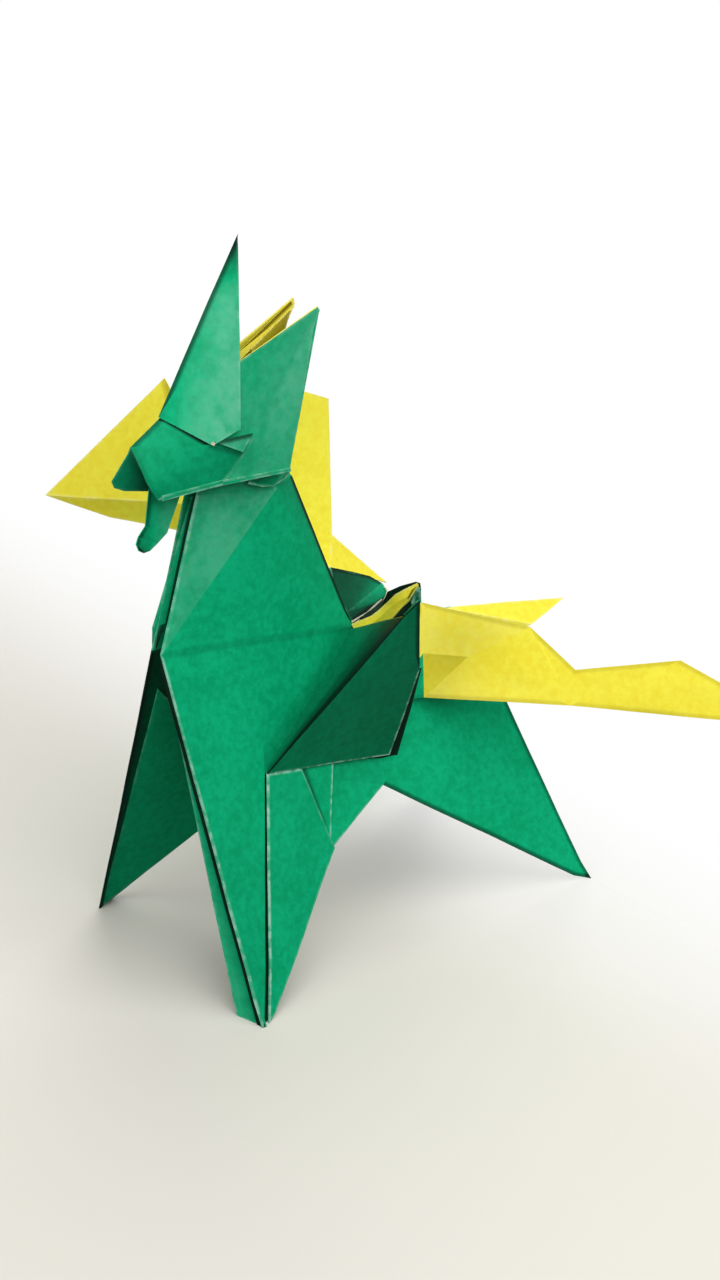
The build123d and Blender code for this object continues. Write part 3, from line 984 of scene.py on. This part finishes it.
right_wing.panel(
    right_faces,
    half=THIN,
    back=YELLOW,
    rim=YELLOW,
    soft={edge(right_crease, p) for p in right_even},
    scuffs={right_faces[6]: (-0.05, -0.05, -0.1), right_faces[7]: (-0.1, -0.05, -0.15)},
    swell=WING_SWELL,
)
right_wing.done()

# Tail, two leaves
tail_tip = (0, 41.6, 38.1)
tail_low = (3.4, 31.92, 37.32)
tail_foot = (2.6, 19.0, 35.0)
tail_root = step(croup, 0, -1.0, 0.4)
leaf = [(tail_root, tail_foot, tail_low), (tail_root, tail_low, tail_tip)]
tail = Piece("sheet_tail", SINGLE_PAPERS)
tail.panel(leaf, half=THIN, front=YELLOW, rim=YELLOW)
tail.panel(twin(leaf), half=THIN, front=YELLOW, rim=YELLOW)
tail.done()

# Hood and snout, with dark lines of painted shade along the brow, bridge and eye, pale lines of wear and
# painted highlight along the jaw, scuff and painted sheen on the cheek and ear, and the snout painted in
# shade
hood_nape = (4.4, -14.0, 73.34)
jaw_crease = (4.0, -24.8, 73.7)
jaw = (3.0, -34.17, 73.26)
muzzle = (3.0, -35.66, 75.96)
bridge = (0, -35.92, 79.89)
brow = (0, -30.93, 83.13)
eye_front = (4.4, -26.6, 79.6)
eye_rear = (4.4, -20.0, 79.3)
eye_low = (4.4, -21.6, 77.3)
ear_root = (3.0, -20.9, 89.4)
ear_tip = (1.6, -7.06, 94.07)
ear_end = (1.5, -6.63, 93.48)
ear_bend = (1.9, -7.96, 91.38)
far_ear = {
    ear_root: (-3.0, -20.9, 87.2),
    ear_tip: (-2.6, -7.96, 94.5),
    ear_end: (-2.5, -7.8, 93.67),
    ear_bend: (-2.6, -9.01, 91.43),
}
snout_side = [
    (brow, bridge, eye_front),
    (bridge, muzzle, eye_front),
    (muzzle, jaw, eye_front),
    (eye_front, jaw, jaw_crease),
    (eye_front, jaw_crease, eye_low),
]
cheek = [
    (eye_front, eye_low, eye_rear),
    (eye_low, jaw_crease, hood_nape),
    (eye_low, hood_nape, eye_rear),
]
ear = [
    (eye_rear, hood_nape, ear_bend),
    (eye_rear, ear_bend, ear_end),
    (eye_rear, ear_end, ear_tip),
    (eye_rear, ear_tip, ear_root),
    (eye_front, eye_rear, ear_root),
]
hood_side = snout_side + cheek + ear + [(brow, eye_front, ear_root)]
hood_even = [(eye_front, p) for p in (bridge, muzzle, jaw, jaw_crease, eye_rear)]
hood_even += [(eye_rear, p) for p in (hood_nape, ear_root, ear_tip, ear_end, ear_bend)]
hood_even += [(eye_low, hood_nape)]
far_even = [(far_ear.get(p, flip(p)), far_ear.get(q, flip(q))) for p, q in hood_even]
hood_worn = {
    edge(jaw, jaw_crease): 0.8,
    edge(jaw_crease, hood_nape): 0.8,
    edge(jaw_crease, eye_low): 0.2,
    edge(bridge, muzzle): -0.25,
    edge(muzzle, jaw): -0.2,
    edge(ear_bend, hood_nape): 0.15,
    edge(brow, eye_front): -1.0,
    edge(brow, bridge): -0.6,
    edge(eye_front, eye_low): -0.35,
    edge(eye_low, eye_rear): 0.2,
}
hood_scuff_and_sheen = {
    eye_rear: 0.35,
    hood_nape: 0.3,
    ear_bend: 0.9,
    ear_end: 0.8,
    ear_tip: 0.4,
    ear_root: 0.15,
    eye_low: 0.35,
    jaw_crease: 0.35,
}
hood = Piece("sheet_hood")
hood.panel(
    hood_side + twin(hood_side, far_ear),
    soft=edges_of(hood_even) | edges_of(far_even),
    worn=hood_worn,
    paint={face: (GREEN, YELLOW) for face in ear + twin(ear, far_ear)},
    rims={edge(ear_root, ear_tip): YELLOW, edge(far_ear[ear_root], far_ear[ear_tip]): YELLOW},
    scuffs={**corner_tones(cheek[1:] + ear, hood_scuff_and_sheen), **even_tones(snout_side, -0.2)},
)

# Far half of the snout, a leaf beyond the near one, painted dark as shade
nose = (-1.2, -38.37, 75.54)
nose_low = (-1.2, -38.04, 74.63)
nose_end = (-0.6, -36.91, 74.11)
mouth = (0.4, -33.25, 73.51)
nose_faces = [(bridge, nose, nose_low), (bridge, nose_low, nose_end), (bridge, nose_end, mouth)]
nose_shade = {bridge: -0.65, nose: -0.5, nose_low: -0.5, nose_end: -0.6, mouth: -0.9}
nose_soft = {edge(bridge, nose_low), edge(bridge, nose_end)}
hood.panel(nose_faces, half=FEW, soft=nose_soft, scuffs=corner_tones(nose_faces, nose_shade), raw=0.1)

# Tuck inside the lower edge of the hood, and a band outside it, with pale lines of wear and painted highlight
# along their edges
tuck_low = [step(jaw, -0.4, 0.6, -0.45), step(jaw_crease, -0.45, 0, -0.6), step(hood_nape, -0.35, -0.3, -0.4)]
tuck_high = [step(tuck_low[0], 0, 0.6, 3.0), step(tuck_low[1], 0.2, 0, 3.0), step(tuck_low[2], 0.3, 0, 3.0)]
tuck = []
for corners in zip(tuck_high, tuck_low, tuck_low[1:], tuck_high[1:]):
    tuck += quad(*corners)
hood.panel(tuck, half=FEW, worn=along(tuck_low, 0.6))
hood.panel(twin(tuck), half=FEW)
band_low = [step(jaw, 0.3, 0.5, -0.2), step(jaw_crease, 0.3, 0, -0.2), step(hood_nape, 0.3, 0, -0.2)]
band_high = [step(p, 0.05, 0, rise) for p, rise in zip(band_low, (0.7, 0.7, 0.5))]
band_worn = {
    edge(band_high[0], band_high[1]): 0.35,
    edge(band_high[1], band_high[2]): 0.45,
    **along(band_low, 0.6),
}
hood.panel(strip(band_low, band_high), half=TURNED, worn=band_worn)

# Crimp at the eye, lightened with scuff and painted sheen and with a dark line of painted shade along its top
# edge, with the white core showing where the layers meet
crimp = ((4.85, -26.4, 80.11), (4.95, -22.0, 77.68), (4.6, -20.11, 79.89))
crimp_worn = {edge(crimp[0], crimp[2]): -0.8, edge(crimp[1], crimp[2]): 0.3}
hood.panel([crimp], half=FEW, scuffs={crimp: (0.7, 0.8, 0.9)}, worn=crimp_worn)
eye = (5.1, -26.7, 79.95)
spot = quad(step(eye, 0, -0.3), step(eye, 0.1, 0.05, -0.3), step(eye, 0, 0.35, 0.05), step(eye, 0, 0, 0.3))
hood.panel(spot, half=TUCK, front=CORE, rim=CORE, grid=TRIM_GRID)
hood.done()

# Horn over the brow, with scuff and painted sheen low down, painted shade towards its tip and at its lower
# front corner, and a dark line of painted shade along its front edge
horn_brow = step(brow, 0, -0.5)
horn_tip = (0, -18.5, 105.0)
horn_front = step(eye_front, 0.45)
horn_rear = (4.9, -22.29, 81.0)
horn_back = step(ear_root, 0.34)
brow_up = mix(horn_brow, horn_tip, 0.68)
front_up = mix(horn_front, horn_tip, 0.68)
back_up = mix(horn_back, horn_tip, 0.5)
horn_side = [
    (horn_brow, horn_front, front_up),
    (horn_brow, front_up, brow_up),
    (brow_up, front_up, horn_tip),
    (horn_front, horn_rear, horn_back),
    (horn_front, horn_back, back_up),
    (horn_front, back_up, front_up),
    (front_up, back_up, horn_tip),
]
horn_scuff_sheen_and_shade = {
    horn_brow: -0.25,
    horn_front: 0.85,
    horn_rear: 0.85,
    horn_back: 0.85,
    front_up: 0.7,
    back_up: 0.7,
    brow_up: 0.4,
    horn_tip: -1.2,
}
horn_worn = {
    edge(horn_brow, horn_front): 0.0,
    edge(horn_front, horn_rear): 0.1,
    edge(horn_rear, horn_back): 0.2,
    **along([horn_brow, brow_up, horn_tip], -0.75),
}
horn = Piece("sheet_horn")
horn.panel(
    horn_side + twin(horn_side),
    worn=horn_worn,
    soft={edge(horn_front, front_up), edge(horn_front, horn_back), edge(front_up, horn_tip)},
    scuffs=corner_tones(horn_side, horn_scuff_sheen_and_shade),
)
horn.done()

# Ear linings, the yellow layer folded into the far ear and painted in shade, and an inlay with scuff and
# painted sheen and a dark line of painted shade along its top
lining = (1.5, -12.5, 88.2)
ears = Piece("sheet_ear_linings")
ears.panel([(ear_end, hood_nape, lining)], half=FEW)
fold_in = ((-2.0, -8.86, 93.21), (-1.2, -15.89, 89.16), (-2.6, -13.35, 78.29))
ears.trim([fold_in], YELLOW, TUCK, scuffs={fold_in: (-0.7, -0.5, -0.9)})
inlay_high = [(-1.7, -17.94, 88.7), (-2.3, -8.6, 94.2)]
inlay_low = [(-1.5, -17.91, 87.61), (-2.2, -8.06, 93.33)]
inlay = quad(inlay_high[0], inlay_low[0], inlay_low[1], inlay_high[1])
ears.trim(inlay, YELLOW, TUCK, worn=along(inlay_high, -1.0), scuffs=even_tones(inlay, 0.6))
ears.done()

# Beard, a tongue with a curled end, with a painted highlight along its right side, painted shade darkening to
# the end, and dark lines of painted shade along its left edge and end
beard_left = [
    (0.5, -33.82, 74.0),
    (0.5, -34.62, 68.94),
    (0.5, -35.77, 67.66),
    (0.9, -36.37, 66.94),
    (1.3, -36.28, 66.13),
]
beard_right = [
    (0.5, -29.04, 72.0),
    (0.5, -31.25, 67.18),
    (0.5, -32.88, 66.01),
    (0.9, -34.34, 65.44),
    (1.3, -35.45, 65.56),
]
beard_faces = strip(beard_left, beard_right)
beard_highlight_and_shade = dict(zip(beard_left, (-0.1, -0.25, -0.35, -0.5, -0.85)))
beard_highlight_and_shade.update(zip(beard_right, (0.5, 0.4, 0.2, -0.35, -0.85)))
beard = Piece("sheet_beard")
beard.panel(
    beard_faces,
    half=FEW,
    worn={**along(beard_left, -0.6), edge(beard_left[4], beard_right[4]): -0.7},
    soft=edges_of(zip(beard_left, beard_right[1:])) | {edge(beard_left[1], beard_right[1])},
    scuffs=corner_tones(beard_faces, beard_highlight_and_shade),
    raw=0.1,
)
beard.done()

# Floor, pale and fading into the backdrop
FLOOR_SLANT = 0.07
floor_mesh = bpy.data.meshes.new("floor")
floor_mesh.from_pydata([(-3, -2, 0), (3, -2, 0), (0, 4, 0)], [], [(0, 1, 2)])
floor = bpy.data.objects.new("floor", floor_mesh)
bpy.context.scene.collection.objects.link(floor)
pale_floor = bpy.data.materials.new("floor_pale")
pale_floor.use_nodes = True
g = Graph(pale_floor.node_tree)
place = g.node("ShaderNodeTexCoord", out="Object")
x, y = g.split(place)[:2]
reach = g.node("ShaderNodeVectorMath", [place], out="Value", operation="LENGTH")
solid = (y - x * FLOOR_SLANT).ramp(-0.013, 0.052, 1.0, 0.0) * reach.ramp(0.2, 0.45, 1.0, 0.0)
seen = g.node("ShaderNodeLightPath", out="Is Camera Ray")
tint = g.blend(seen, srgb(104, 102, 97), srgb(222, 219, 210))
inputs = {"Base Color": tint, "Roughness": 0.8, "Specular IOR Level": 0.2, "Alpha": solid}
g.node("ShaderNodeOutputMaterial", [g.node("ShaderNodeBsdfPrincipled", inputs)])
floor_mesh.materials.append(pale_floor)

# White backdrop to the eye, soft light to the paper
world = bpy.data.worlds.new("studio")
bpy.context.scene.world = world
world.use_nodes = True
g = Graph(world.node_tree)
seen = g.node("ShaderNodeLightPath", out="Is Camera Ray")
for kind in ("Is Glossy Ray", "Is Transmission Ray"):
    seen = seen.at_least(g.node("ShaderNodeLightPath", out=kind))
soft_light = g.node("ShaderNodeBackground", [(1.0, 0.99, 0.97, 1.0), 0.12])
white = g.node("ShaderNodeBackground", [(1.0, 1.0, 1.0, 1.0), 1.0])
g.node("ShaderNodeOutputWorld", [g.node("ShaderNodeMixShader", [seen, soft_light, white])])

# Studio lamps, all aimed at the middle of the figure, in metres and watts
AIM = Vector((0, 0, 0.05))


def lamp(name, toward, distance, size, power):
    data = bpy.data.lights.new(name, "AREA")
    data.shape = "DISK"
    data.size = size
    data.energy = power
    made = bpy.data.objects.new(name, data)
    direction = Vector(toward).normalized()
    made.location = AIM + direction * distance
    made.rotation_euler = direction.to_track_quat("Z", "Y").to_euler()
    bpy.context.scene.collection.objects.link(made)


lamp("key", toward=(0.55, -0.06, 0.83), distance=0.8, size=1.2, power=8.5)
lamp("front", toward=(0.15, -0.9, 0.35), distance=0.8, size=0.5, power=2.0)
lamp("window", toward=(-0.55, 0.62, 0.56), distance=0.9, size=0.8, power=4.0)

# Camera where the photo was taken from, turned to the left and tipped down
CAMERA_STAND = Vector((235.1, -179.6, 178.6))
CAMERA_TURN = math.radians(52.4)
CAMERA_TIP = math.radians(24.7)
lens = bpy.data.cameras.new("photo")
lens.sensor_fit = "VERTICAL"
lens.sensor_height = 36
lens.lens = 63.03
lens.clip_start = 0.01
camera = bpy.data.objects.new("photo", lens)
right = Vector((math.cos(CAMERA_TURN), math.sin(CAMERA_TURN), 0))
level = math.cos(CAMERA_TIP)
ahead = Vector((-math.sin(CAMERA_TURN) * level, math.cos(CAMERA_TURN) * level, -math.sin(CAMERA_TIP)))
above = right.cross(ahead)
stand = (CAMERA_STAND - CENTRE) / MM_PER_M
camera.matrix_world = Matrix.Translation(stand) @ Matrix((right, above, -ahead)).transposed().to_4x4()
bpy.context.scene.collection.objects.link(camera)
bpy.context.scene.camera = camera
bpy.context.scene.view_settings.view_transform = "Standard"
